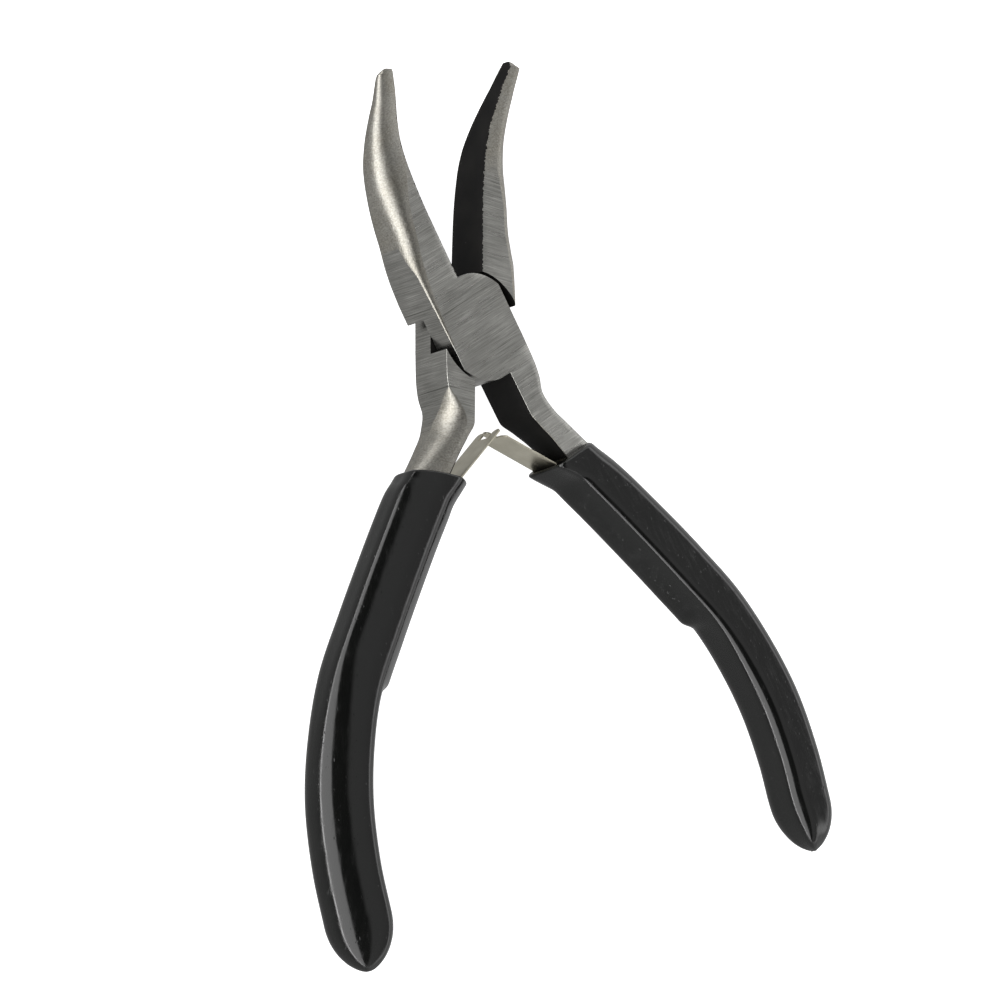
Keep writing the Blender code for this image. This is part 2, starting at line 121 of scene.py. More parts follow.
# Handle bar and sleeve.
BAR_LINE = [(7.85, -22.8), (11.2, -29.4), (15.0, -37.8), (18.6, -46.2), (21.9, -54.6),
            (23.5, -63.0), (23.8, -71.4), (22.5, -79.8), (20.3, -87.2), (18.4, -93.6)]
BAR_HALF_W = 2.7
BAR_BOTTOM = 1.1
BAR_TOP = 5.6
BAR_START = 0.03                   # shares of the line between which the bar runs
BAR_END = 0.95
BAR_CORNER = (1.5, 1.6)
BAR_NOSE = 0.04                    # share of the line that its round end takes
BAR_TIP_SHARE = 0.25               # share of the rounding at which the end face stands
ACROSS_FADE = 0.12                 # the sections stand square to the line from this share on
MID_Z = (BAR_BOTTOM + BAR_TOP) / 2
GRIP_HALF_W = 4.05
GRIP_SWELL = 0.25                  # the lower end of the sleeve is wider by this on each side
GRIP_SWELL_SPAN = (0.45, 0.7)
GRIP_NOSE = 0.12
GRIP_NOSE_POWER = 0.62
GRIP_TIP_SHARE = 0.01
# Round corners of the sleeve: (across, height), and what its lower end or its mouth adds to them.
PLAIN_CORNER = (2.3, 2.3)
CROWN_CORNER, CROWN_LOW = (5.6, 3.0), (0.4, 1.5)    # half B, upper outer corner
INNER_CORNER, INNER_LOW = 1.3, 0.8                  # half A, upper inner corner
OUTER_CORNER, OUTER_MOUTH = 2.7, 0.6                # half A, upper outer corner
SMALLEST_CORNER = 0.3
LOW_SPAN = (0.4, 0.62)
MOUTH_SPAN = (0.03, 0.16)
NARROW_A, NARROW_A_SPAN = 0.55, (0.06, 0.34)        # half A is narrower outside near its mouth
TRIM_A, TRIM_A_SPAN = 0.7, (0.84, 0.96)             # and inside at its end
BULGE = 1.4                        # swelling on the inner side, over the springs
BULGE_FADE = ((-0.8, 0.75), (0.25, 0.95))           # heights between which it fades out, half A and B
BULGE_END_SPAN = (0.41, 0.455)
LIP_FLARE = (1.8, 1.1)             # how far the mouth flares inwards, half A and B
LIP_END = 0.06
LIP_R = 0.55                       # roundness of the rim of the mouth
LIP_DEPTH = 0.9                    # depth of the rim, as a share of LIP_R
LIP_INSET = 0.02
LIP_STATION = 0.012                # share of the line where the rim ends
HOLLOW_DEPTH = 0.4                 # share of the line that the sleeve is hollow, for the spring
HOLLOW_CORNER = (0.7, 0.7)
HUG, HUG_DEEP, HUG_FROM = 0.05, 0.3, 0.02           # clearance round the bar, and how it grows inwards
SPRING_ROOM, MOUTH_ROOM = 1.3, 1.2                  # room beside the bar, and what the mouth adds

SPRING_T = 0.25
SPRING_W = 4.7
SPRING_Z = 2.8
SPRING_ANGLE = math.radians(131.5)
SPRING_L = 16.2
SPRING_NECK = 14.3
TONGUE_W = 1.4
SLOT_W = 2.0
SPRING_ROOT = Vector((14.35, -43.9))
SPRING_BEND_R = 7.0
SPRING_SHOULDER = 0.35             # half A's strip tapers over this length towards its tongue
SPRING_BLEND = (-1.5, 3.5)         # two distances from the hinge; the points at them are worked out but not used
SPRING_EDGE = 0.05

GROUND, FORGED, OXIDE, JAW_SKIN, NECK_SKIN = range(5)    # material slots of the halves


def profile(points):
    """Smooth curve through (u, value) points, without overshoot."""
    us = [p[0] for p in points]
    vs = [p[1] for p in points]
    slopes = [(vs[i + 1] - vs[i]) / (us[i + 1] - us[i]) for i in range(len(us) - 1)]
    tangents = [slopes[0]]
    for before, after in zip(slopes, slopes[1:]):
        tangents.append(0.0 if before * after <= 0 else 2 * before * after / (before + after))
    tangents.append(slopes[-1])

    def value(u):
        u = min(max(u, us[0]), us[-1])
        i = max(k for k in range(len(us) - 1) if us[k] <= u)
        h = us[i + 1] - us[i]
        t = (u - us[i]) / h
        return ((2 * t ** 3 - 3 * t ** 2 + 1) * vs[i] + (t ** 3 - 2 * t ** 2 + t) * h * tangents[i]
                + (3 * t ** 2 - 2 * t ** 3) * vs[i + 1] + (t ** 3 - t ** 2) * h * tangents[i + 1])

    return value


def smoothstep(low, high, u):
    t = min(max((u - low) / (high - low), 0.0), 1.0)
    return t * t * (3 - 2 * t)


def bar_point(share):
    """Point and direction on the centre line of the handle bar, by share of its length."""
    points = [Vector(p) for p in BAR_LINE]
    place = min(max(share, 0.0), 1.0) * (len(points) - 1)
    i = min(int(place), len(points) - 2)
    t = place - i
    p1, p2 = points[i], points[i + 1]
    p0 = points[i - 1] if i else 2 * p1 - p2
    p3 = points[i + 2] if i + 2 < len(points) else 2 * p2 - p1
    at = 0.5 * (2 * p1 + (p2 - p0) * t + (2 * p0 - 5 * p1 + 4 * p2 - p3) * t ** 2
                + (3 * p1 - p0 - 3 * p2 + p3) * t ** 3)
    along = (p2 - p0) + 2 * (2 * p0 - 5 * p1 + 4 * p2 - p3) * t + 3 * (3 * p1 - p0 - 3 * p2 + p3) * t ** 2
    return at, along.normalized()


def bar_across(share):
    """Direction across the handle: along X at the mouth, square to the line lower down."""
    _, along = bar_point(share)
    square = Vector((-along.y, along.x))
    return Vector((1.0, 0.0)).lerp(square, smoothstep(0.0, ACROSS_FADE, share)).normalized()


# ---------------------------------------------------------------- sections and skins

CORNER_STEPS = 10
FLAT_STEPS = 5
BL, BR, TR, TL, BOTTOM, RIGHT, TOP, LEFT = range(8)      # corners and sides of a section
CREASE = math.radians(9)           # how far a ground flat cuts into the forged corner of the jaw
CREASE_SPAN = (14.0, 19.0)         # where the jaw's crease fades out
NECK_CREASE = math.radians(12)     # the same for the neck
NECK_CREASE_LOSS, NECK_CREASE_SPAN = 0.4, (15.0, 22.0)
SHARP_STEEL, SHARP_SLEEVE, SHARP_SPRING = 30, 60, 50    # edges sharper than this stay hard, in degrees
SHARP_BORDER = 4                   # the same where two materials meet


def corner(cx, cz, sx, sz, rx, rz, start_on_side, crease):
    """Points of one round corner. (cx, cz) is the sharp corner, sx and sz point outwards from the body."""
    low, high = math.sin(crease), math.cos(crease)
    points = []
    for i in range(CORNER_STEPS + 1):
        a = crease + (math.pi / 2 - 2 * crease) * i / CORNER_STEPS
        fall_x = (high - math.cos(a)) / (high - low)
        fall_z = (high - math.sin(a)) / (high - low)
        points.append((cx - sx * rx * fall_x, cz - sz * rz * fall_z))
    return points if start_on_side else points[::-1]


def section(left, right, bottom, top, radii, crease=0.0):
    """Ring of (across, height, part) points, anticlockwise from the bottom left corner.

    radii holds (across, height) for the corners BL, BR, TR and TL. part names the face that follows
    the point: one of those corners, or the side BOTTOM, RIGHT, TOP or LEFT after it.
    """
    corners = [corner(left, bottom, -1, -1, *radii[BL], True, crease),
               corner(right, bottom, 1, -1, *radii[BR], False, crease),
               corner(right, top, 1, 1, *radii[TR], True, crease),
               corner(left, top, -1, 1, *radii[TL], False, crease)]
    ring = []
    for k, points in enumerate(corners):
        ring += [(x, z, k) for x, z in points[:-1]]
        (x0, z0), (x1, z1) = points[-1], corners[(k + 1) % 4][0]
        for i in range(FLAT_STEPS):
            t = i / FLAT_STEPS
            ring.append((x0 + (x1 - x0) * t, z0 + (z1 - z0) * t, BOTTOM + k))
    return ring


def lay_ring(ring, at, across):
    """Place a section in space; across is its unit vector in the XY plane."""
    return [(Vector((at.x + across.x * u, at.y + across.y * u, z)), part) for u, z, part in ring]


def straight_ring(y, *args):
    return lay_ring(section(*args), Vector((0.0, y)), Vector((1.0, 0.0)))


def skin(bm, rings, slot_of=None):
    """Quads between rings of (point, part); slot_of(part, station) picks the material of each row."""
    loops = [[bm.verts.new(p * MM) for p, _ in ring] for ring in rings]
    for i, (here, there) in enumerate(zip(loops, loops[1:])):
        for k in range(len(here)):
            m = (k + 1) % len(here)
            face = bm.faces.new((here[k], there[k], there[m], here[m]))
            if slot_of:
                point, part = rings[i][k]
                face.material_index = slot_of(part, (point.y + rings[i + 1][k][0].y) / 2)
    return loops[0], loops[-1]


def finish_mesh(bm, name, materials, mirrored=False):
    if mirrored:
        bmesh.ops.scale(bm, vec=(-1, 1, 1), verts=bm.verts)
    bmesh.ops.recalc_face_normals(bm, faces=bm.faces)
    mesh = bpy.data.meshes.new(name)
    bm.to_mesh(mesh)
    bm.free()
    for item in materials:
        mesh.materials.append(item)
    result = bpy.data.objects.new(name, mesh)
    bpy.context.scene.collection.objects.link(result)
    return result


def mark_edges(obj, angle_deg):
    """Shade smooth, with sharp edges past an angle and along the borders between materials."""
    bm = bmesh.new()
    bm.from_mesh(obj.data)
    for face in bm.faces:
        face.smooth = True
    for edge in bm.edges:
        if len(edge.link_faces) != 2:
            continue
        one, two = edge.link_faces
        turn = one.normal.angle(two.normal, 0.0)
        border = one.material_index != two.material_index and turn > math.radians(SHARP_BORDER)
        edge.smooth = not (border or turn > math.radians(angle_deg))
    bm.to_mesh(obj.data)
    bm.free()
    modifier = obj.modifiers.new("normals", "WEIGHTED_NORMAL")
    modifier.keep_sharp = True
    applied(obj)


def applied(obj):
    """Bake the modifiers of an object into its mesh."""
    bpy.context.view_layer.update()
    mesh = bpy.data.meshes.new_from_object(obj.evaluated_get(bpy.context.evaluated_depsgraph_get()))
    obj.modifiers.clear()
    obj.data = mesh


def turned(points, segments):
    """Solid of revolution about Z from (radius, height) points that start and end on the axis."""
    bm = bmesh.new()
    verts = [bm.verts.new((r * MM, 0, z * MM)) for r, z in points]
    edges = [bm.edges.new(pair) for pair in zip(verts, verts[1:])]
    bmesh.ops.spin(bm, geom=verts + edges, axis=(0, 0, 1), cent=(0, 0, 0), steps=segments,
                   angle=2 * math.pi)
    bmesh.ops.remove_doubles(bm, verts=bm.verts, dist=0.00001)
    return bm


def cut(target, bm, material):
    """Cut a shape out of the target; the new faces get the material."""
    cutter = finish_mesh(bm, target.name + "_cutter", [material])
    modifier = target.modifiers.new("cut", "BOOLEAN")
    modifier.operation = "DIFFERENCE"
    modifier.material_mode = "TRANSFER"
    modifier.object = cutter
    applied(target)
    bpy.data.objects.remove(cutter)


# ---------------------------------------------------------------- materials

def new_material(name):
    material = bpy.data.materials.new(name)
    material.use_nodes = True
    tree = material.node_tree
    return material, tree, tree.nodes["Principled BSDF"]


def local_noise(tree, scale, detail=4.0, roughness=0.55):
    """Noise over the object's own coordinates; scale is cells per metre along X, Y and Z."""
    coordinates = tree.nodes.new("ShaderNodeTexCoord")
    mapping = tree.nodes.new("ShaderNodeMapping")
    mapping.inputs["Scale"].default_value = scale
    noise = tree.nodes.new("ShaderNodeTexNoise")
    noise.inputs["Scale"].default_value = 1.0
    noise.inputs["Detail"].default_value = detail
    noise.inputs["Roughness"].default_value = roughness
    tree.links.new(coordinates.outputs["Object"], mapping.inputs["Vector"])
    tree.links.new(mapping.outputs["Vector"], noise.inputs["Vector"])
    return noise.outputs["Fac"]


def ramp(tree, value, stops):
    """Colour ramp through (position, colour) stops."""
    node = tree.nodes.new("ShaderNodeValToRGB")
    elements = node.color_ramp.elements
    for element, (position, colour) in zip(elements, (stops[0], stops[-1])):
        element.position = position
        element.color = (*colour, 1.0)
    for position, colour in stops[1:-1]:
        elements.new(position).color = (*colour, 1.0)
    tree.links.new(value, node.inputs["Fac"])
    return node.outputs["Color"]


def span(tree, value, low, high, start=0.0, end=1.0):
    """Map value from start..end to low..high."""
    node = tree.nodes.new("ShaderNodeMapRange")
    for key, number in (("From Min", start), ("From Max", end), ("To Min", low), ("To Max", high)):
        node.inputs[key].default_value = number
    tree.links.new(value, node.inputs["Value"])
    return node.outputs["Result"]


def blend_colours(tree, one, two, mode):
    node = tree.nodes.new("ShaderNodeMix")
    node.data_type = "RGBA"
    node.blend_type = mode
    node.inputs["Factor"].default_value = 1.0
    tree.links.new(one, node.inputs["A"])
    tree.links.new(two, node.inputs["B"])
    return node.outputs["Result"]


def bumps(tree, shader, layers):
    """Stack of bump layers: (height, strength, distance in metres)."""
    normal = None
    for height, strength, distance in layers:
        node = tree.nodes.new("ShaderNodeBump")
        node.inputs["Strength"].default_value = strength
        node.inputs["Distance"].default_value = distance
        tree.links.new(height, node.inputs["Height"])
        if normal:
            tree.links.new(normal, node.inputs["Normal"])
        normal = node.outputs["Normal"]
    tree.links.new(normal, shader.inputs["Normal"])


def ground_layer(tree, shader):
    """Belt ground faces: fine lines across the length of the half."""
    fine = local_noise(tree, (170, 7500, 170), 6.0, 0.7)
    broad = local_noise(tree, (90, 1300, 90), 4.0, 0.6)
    cloud = local_noise(tree, (120, 160, 160), 3.0)
    scratch = local_noise(tree, (60, 3300, 60), 2.0)
    tone = ramp(tree, fine, [(0.3, (0.20, 0.20, 0.187)), (0.5, (0.335, 0.332, 0.315)),
                             (0.7, (0.56, 0.555, 0.53))])
    patch = ramp(tree, cloud, [(0.35, (0.86, 0.86, 0.85)), (0.65, (1.08, 1.08, 1.07))])
    tone = blend_colours(tree, tone, patch, "MULTIPLY")
    deep = ramp(tree, scratch, [(0.27, (0.5, 0.5, 0.49)), (0.34, (1.0, 1.0, 1.0))])
    tone = blend_colours(tree, tone, deep, "MULTIPLY")
    tree.links.new(tone, shader.inputs["Base Color"])
    shader.inputs["Metallic"].default_value = 1.0
    tree.links.new(span(tree, broad, 0.25, 0.36, 0.3, 0.7), shader.inputs["Roughness"])
    bumps(tree, shader, [(broad, 0.3, 0.00006), (fine, 0.4, 0.00003), (scratch, 0.2, 0.00003)])


def forged_layer(tree, shader):
    """Forged and blasted skin: fine grain with faint strokes across the length."""
    grain = local_noise(tree, (3400, 5200, 3400), 5.0, 0.65)
    strokes = local_noise(tree, (600, 3000, 600), 3.0)
    cloud = local_noise(tree, (260, 260, 260), 3.0)
    tone = ramp(tree, grain, [(0.3, (0.25, 0.243, 0.222)), (0.5, (0.36, 0.35, 0.32)),
                              (0.7, (0.52, 0.505, 0.465))])
    patch = ramp(tree, cloud, [(0.3, (0.90, 0.88, 0.84)), (0.7, (1.0, 1.0, 1.0))])
    tree.links.new(blend_colours(tree, tone, patch, "MULTIPLY"), shader.inputs["Base Color"])
    shader.inputs["Metallic"].default_value = 1.0
    tree.links.new(span(tree, grain, 0.34, 0.42, 0.3, 0.7), shader.inputs["Roughness"])
    bumps(tree, shader, [(strokes, 0.5, 0.00007), (grain, 0.55, 0.00006)])


def oxide_layer(tree, shader):
    """Black oxide on the gripping faces and on the inner sides of the handles."""
    cloud = local_noise(tree, (170, 260, 260), 3.0)
    dust = local_noise(tree, (1500, 1900, 1500), 2.0)
    tone = ramp(tree, cloud, [(0.3, (0.004, 0.004, 0.004)), (0.7, (0.008, 0.0075, 0.007))])
    specks = ramp(tree, dust, [(0.76, (0.0, 0.0, 0.0)), (0.82, (0.10, 0.10, 0.095))])
    tree.links.new(blend_colours(tree, tone, specks, "ADD"), shader.inputs["Base Color"])
    tree.links.new(span(tree, cloud, 0.42, 0.55, 0.3, 0.7), shader.inputs["Roughness"])
    shader.inputs["Specular IOR Level"].default_value = 0.1
    bumps(tree, shader, [(dust, 0.12, 0.00003)])


def math_node(tree, operation, *values):
    node = tree.nodes.new("ShaderNodeMath")
    node.operation = operation
    for socket, value in zip(node.inputs, values):
        if isinstance(value, (int, float)):
            socket.default_value = value
        else:
            tree.links.new(value, socket)
    return node.outputs["Value"]


def local_axes(tree):
    """|x| and y of the object's own coordinates, in metres; |x| serves both halves."""
    coordinates = tree.nodes.new("ShaderNodeTexCoord")
    split = tree.nodes.new("ShaderNodeSeparateXYZ")
    tree.links.new(coordinates.outputs["Object"], split.inputs["Vector"])
    return math_node(tree, "ABSOLUTE", split.outputs["X"]), split.outputs["Y"]


def add_layer(tree, factor, below, layer):
    """Lay another Principled layer over a shader where factor is 1."""
    shader = tree.nodes.new("ShaderNodeBsdfPrincipled")
    layer(tree, shader)
    mix = tree.nodes.new("ShaderNodeMixShader")
    tree.links.new(factor, mix.inputs["Fac"])
    tree.links.new(below, mix.inputs[1])
    tree.links.new(shader.outputs["BSDF"], mix.inputs[2])
    return mix.outputs["Shader"]


def plain_steel(name, layer):
    material, tree, shader = new_material(name)
    layer(tree, shader)
    return material


JAW_GROUND_FADE_M = (0.0215, 0.0265)    # the ground skin of the jaw fades out between these
JAW_RAGGED_M = 0.002                    # how far its border strays
NECK_RAGGED_M = 0.0008
OXIDE_BORDER_M = (0.00005, 0.0004)      # width of the oxide that laps over the face's edge
OXIDE_FADE_M = 0.00003


def jaw_steel():
    """Top and bottom of a jaw: ground near the joint, forged beyond, with the oxide's ragged border."""
    material, tree, shader = new_material("jaw_steel")
    ground_layer(tree, shader)
    across, along = local_axes(tree)
    ragged = local_noise(tree, (300, 2200, 300), 5.0, 0.7)
    stray = span(tree, ragged, -JAW_RAGGED_M, JAW_RAGGED_M, 0.3, 0.7)
    reach = math_node(tree, "ADD", along, stray)
    forged = span(tree, reach, 0.0, 1.0, *JAW_GROUND_FADE_M)
    result = add_layer(tree, forged, shader.outputs["BSDF"], forged_layer)
    border = math_node(tree, "SUBTRACT", span(tree, ragged, *OXIDE_BORDER_M, 0.35, 0.65), across)
    result = add_layer(tree, span(tree, border, 0.0, 1.0, 0.0, OXIDE_FADE_M), result, oxide_layer)
    tree.links.new(result, tree.nodes["Material Output"].inputs["Surface"])
    return material


def neck_steel():
    """Flat sides of the neck: ground near the joint, forged towards the sleeve."""
    material, tree, shader = new_material("neck_steel")
    ground_layer(tree, shader)
    _, along = local_axes(tree)
    ragged = local_noise(tree, (900, 1800, 900), 4.0)
    stray = span(tree, ragged, -NECK_RAGGED_M, NECK_RAGGED_M, 0.3, 0.7)
    reach = math_node(tree, "SUBTRACT", stray, along)
    forged = span(tree, reach, 0.0, 1.0, *NECK_GROUND_FADE_M)
    result = add_layer(tree, forged, shader.outputs["BSDF"], forged_layer)
    tree.links.new(result, tree.nodes["Material Output"].inputs["Surface"])
    return material


def dipped_vinyl():
    """Glossy black sleeve with faint ripples, scuffs and pits."""
    material, tree, shader = new_material("dipped_vinyl")
    ripple = local_noise(tree, (220, 220, 220), 2.0)
    cloud = local_noise(tree, (60, 60, 60), 4.0)
    scuff = local_noise(tree, (1500, 260, 700), 4.0, 0.7)
    pits = local_noise(tree, (1700, 1700, 1700), 1.0)
    tone = ramp(tree, cloud, [(0.3, (0.0020, 0.0022, 0.0020)), (0.7, (0.0040, 0.0043, 0.0040))])
    haze = ramp(tree, scuff, [(0.66, (0.0, 0.0, 0.0)), (0.84, (0.02, 0.02, 0.02))])
    tree.links.new(blend_colours(tree, tone, haze, "ADD"), shader.inputs["Base Color"])
    tree.links.new(span(tree, scuff, 0.11, 0.30, 0.45, 0.8), shader.inputs["Roughness"])
    shader.inputs["IOR"].default_value = 1.53
    bumps(tree, shader, [(ripple, 0.14, 0.0003), (scuff, 0.05, 0.00005),
                         (span(tree, pits, 0.0, 1.0, 0.22, 0.3), 0.5, 0.00003)])
    return material


def spring_nickel():
    """Bright warm strip with lengthwise rolling lines."""
    material, tree, shader = new_material("spring_nickel")
    lines = local_noise(tree, (300, 300, 6000), 4.0)
    cloud = local_noise(tree, (300, 300, 300), 3.0)
    tone = ramp(tree, cloud, [(0.3, (0.54, 0.51, 0.41)), (0.7, (0.68, 0.65, 0.54))])
    tree.links.new(tone, shader.inputs["Base Color"])
    shader.inputs["Metallic"].default_value = 1.0
    tree.links.new(span(tree, lines, 0.32, 0.42, 0.3, 0.7), shader.inputs["Roughness"])
    bumps(tree, shader, [(lines, 0.15, 0.00002)])
    return material


STEEL = [plain_steel("ground_steel", ground_layer), plain_steel("forged_steel", forged_layer),
         plain_steel("black_oxide", oxide_layer), jaw_steel(), neck_steel()]
VINYL = dipped_vinyl()
NICKEL = spring_nickel()


# ---------------------------------------------------------------- steel halves

JAW_STATIONS, JAW_CROWDING = 110, 1.25    # sections along the jaw, closer together at the tip
ARC_STEPS, SIDE_STEPS = 24, 4
NECK_STATIONS = 60
BAR_STATIONS = 60
RECESS_STEPS = 144
RIVET_STEPS = 64
BEYOND = 1.0                              # how far a cutter stands out of what it cuts


def corner_radii(share_w, share_h, width, height):
    return max(share_w * width, GROUND_EDGE), max(share_h * height, GROUND_EDGE)


def jaw_rings(mirrored):
    top, bottom, width = profile(JAW_TOP), profile(JAW_BOTTOM), profile(JAW_WIDTH)
    share_w, share_h = profile(CORNER_W), profile(CORNER_H)
    fine = (FACE_EDGE, FACE_EDGE)
    rings = []
    for i in range(JAW_STATIONS + 1):
        share = 1 - (1 - i / JAW_STATIONS) ** JAW_CROWDING
        y = JAW_END - (JAW_END - LOBE_R - JAW_ROOT_GAP) * share
        nose = min(1.0, (JAW_END - y) / TIP_ROUND[mirrored] + TIP_START)
        size = math.sqrt(1 - (1 - nose) ** 2)
        half = (top(y) - bottom(y)) / 2 * size
        middle = (top(y) + bottom(y)) / 2
        w = (width(y) - JAW_FACE) * size
        face = JAW_FACE + (width(y) - JAW_FACE) * TIP_MIDDLE[mirrored] * (1 - size)
        size_up = 1 - (1 - CORNER_B) * smoothstep(*CORNER_B_SPAN, y) if mirrored else 1.0
        upper = corner_radii(share_w(y) * size_up, share_h(y) * size_up, w, 2 * half)
        lower = corner_radii(share_w(y) * CORNER_LOW, share_h(y) * CORNER_LOW, w, 2 * half)
        crease = CREASE * (1 - smoothstep(*CREASE_SPAN, y))
        ring = straight_ring(y, -w - face, -face, middle - half, middle + half,
                             (lower, fine, fine, upper), crease)
        tip = smoothstep(TIP_TILT_FROM, JAW_END, y)
        for point, _ in ring:
            point.y += tip * (TIP_REACH[mirrored] + TIP_TILT[mirrored] * (middle - point.z))
        rings.append(ring)
    return rings


def joint_rings():
    """Sections across the round leaf, from the jaw side to the handle side."""
    limit = math.asin(JOINT_HALF_W / LOBE_R)
    outer = profile(HANDLE_OUTER)
    share_w, share_h = profile(CORNER_W), profile(CORNER_H)
    edge = (GROUND_EDGE, GROUND_EDGE)
    rings = []

    def ring(y, left, right):
        upper = corner_radii(share_w(y), share_h(y), JOINT_HALF_W, JOINT_T)
        lower = corner_radii(share_w(y) * CORNER_LOW, share_h(y) * CORNER_LOW, JOINT_HALF_W, JOINT_T)
        if y < 0:
            upper, lower = edge, edge
        return straight_ring(y, left, right, 0, JOINT_T, (lower, edge, edge, upper), CREASE)

    for i in range(ARC_STEPS + 1):
        a = ARC_START + (limit - ARC_START) * i / ARC_STEPS
        rings.append(ring(LOBE_R * math.cos(a), -JOINT_HALF_W, LOBE_R * math.sin(a)))
    for i in range(1, 2 * SIDE_STEPS):
        y = LOBE_R * math.cos(limit) * (1 - i / SIDE_STEPS)
        rings.append(ring(y, -JOINT_HALF_W, JOINT_HALF_W))
    for i in range(ARC_STEPS + 1):
        a = limit + (ARC_END - limit) * i / ARC_STEPS
        y = -LOBE_R * math.cos(a)
        rings.append(ring(y, -LOBE_R * math.sin(a), outer(-y)))
    return rings


def neck_rings(forged_on_top):
    inner, outer = profile(HANDLE_INNER), profile(HANDLE_OUTER)
    bottom, top = profile(NECK_BOTTOM), profile(NECK_TOP)
    forged_w, forged_h = profile(FORGED_W), profile(FORGED_H)
    ground_w, ground_h = profile(GROUND_W), profile(GROUND_H)
    edge = (GROUND_EDGE, GROUND_EDGE)
    rings = []
    start, end = HANDLE_INNER[0][0], HANDLE_INNER[-1][0]
    for i in range(NECK_STATIONS + 1):
        d = start + (end - start) * i / NECK_STATIONS
        width, height = outer(d) - inner(d), top(d) - bottom(d)
        forged = corner_radii(forged_w(d), forged_h(d), width, height)
        ground = corner_radii(ground_w(d), ground_h(d), width, height)
        soft = smoothstep(*INSIDE_SPAN, d)
        inside = corner_radii(INSIDE_W * soft, INSIDE_H * soft, width, height)
        radii = (edge, ground, forged, inside) if forged_on_top else (inside, forged, ground, edge)
        crease = NECK_CREASE * (1 - NECK_CREASE_LOSS * smoothstep(*NECK_CREASE_SPAN, d))
        rings.append(straight_ring(-d, inner(d), outer(d), bottom(d), top(d), radii, crease))
    return rings


def bar_rings():
    rings = []
    for i in range(BAR_STATIONS + 1):
        share = BAR_START + (BAR_END - BAR_START) * i / BAR_STATIONS
        at, _ = bar_point(share)
        size = math.sqrt(1 - (1 - min(1.0, (BAR_END - share) / BAR_NOSE + BAR_TIP_SHARE)) ** 2)
        half_w, half_t = BAR_HALF_W * size, (BAR_TOP - BAR_BOTTOM) / 2 * size
        radius = (BAR_CORNER[0] * size, BAR_CORNER[1] * size)
        ring = section(-half_w, half_w, MID_Z - half_t, MID_Z + half_t, (radius,) * 4)
        rings.append(lay_ring(ring, at, bar_across(share)))
    return rings


def half_slot(forged_on_top):
    """Material of each strip of a half: part is the section's corner or side, y the station."""
    def pick(part, y):
        if y > LOBE_R:                                  # jaw, whose outer side is on the left
            if part in (BR, RIGHT):
                return OXIDE
            if part in (BL, TL):
                return FORGED
            if part == LEFT:
                return GROUND if y < SIDE_GROUND_END else FORGED
            return JAW_SKIN
        if y > -HANDLE_INNER[0][0]:                     # joint
            return FORGED if part in (BL, TL) and y > 0 else GROUND
        if y < -HANDLE_INNER[-1][0]:                    # bar in the sleeve
            return FORGED
        if part == LEFT:                                # neck, whose inner side is on the left
            return OXIDE
        if part in (BL, TL):
            return OXIDE if (part == BL) != forged_on_top else NECK_SKIN
        if part in (BR, TR):
            return FORGED if (part == TR) == forged_on_top and y < -NECK_ROUND_START else GROUND
        return NECK_SKIN if part == RIGHT or (part == TOP) == forged_on_top else GROUND

    return pick


def steel_half(name, mirrored):
    forged_on_top = mirrored
    rings = jaw_rings(mirrored) + joint_rings() + neck_rings(forged_on_top) + bar_rings()
    bm = bmesh.new()
    first, last = skin(bm, rings, half_slot(forged_on_top))
    bm.faces.new(first).material_index = FORGED
    bm.faces.new(last).material_index = FORGED
    half = finish_mesh(bm, name, STEEL, mirrored)
    middle = JOINT_T / 2
    low, high = (middle - GAP / 2, JOINT_T + BEYOND) if mirrored else (-BEYOND, middle + GAP / 2)
    recess = turned([(0, low), (RECESS_R, low), (RECESS_R, high), (0, high)], RECESS_STEPS)
    cut(half, recess, STEEL[OXIDE])
    cut(half, turned(rivet_points(RIVET_CLEARANCE), RIVET_STEPS), STEEL[GROUND])
    mark_edges(half, SHARP_STEEL)
    half.rotation_euler = (0, 0, -OPEN_HALF if mirrored else OPEN_HALF)
    return half


def rivet_points(grow):
    """Rivet with a countersunk lower head, ground flush; grow gives the hole for it."""
    low = -BEYOND if grow else 0.0
    shank, head, end = RIVET_R + grow, RIVET_HEAD_R + grow, JOINT_T - RIVET_SKIN + grow
    points = [(0, low), (head, low)] + ([(head, 0.0)] if grow else [])
    return points + [(shank, RIVET_HEAD_H), (shank, end), (0, end)]


# ---------------------------------------------------------------- sleeves

HOLLOW_STATIONS = 6
LIP_STEPS = 8
GRIP_STATIONS, GRIP_CROWDING = 150, 1.15    # sections along the sleeve, closer together at its end


def sleeve_corners(share, size, inset, mirrored):
    """Corner radii of the sleeve's section."""
    def radii(across, height):
        return max(across * size - inset, SMALLEST_CORNER), max(height * size - inset, SMALLEST_CORNER)

    low = smoothstep(*LOW_SPAN, share)
    near = 1 - smoothstep(*MOUTH_SPAN, share)
    plain = radii(*PLAIN_CORNER)
    if mirrored:
        crown = radii(CROWN_CORNER[0] + CROWN_LOW[0] * low, CROWN_CORNER[1] + CROWN_LOW[1] * low)
        return plain, plain, crown, plain
    outer, inner = OUTER_CORNER + OUTER_MOUTH * near, INNER_CORNER + INNER_LOW * low
    return plain, plain, radii(outer, outer), radii(inner, inner)


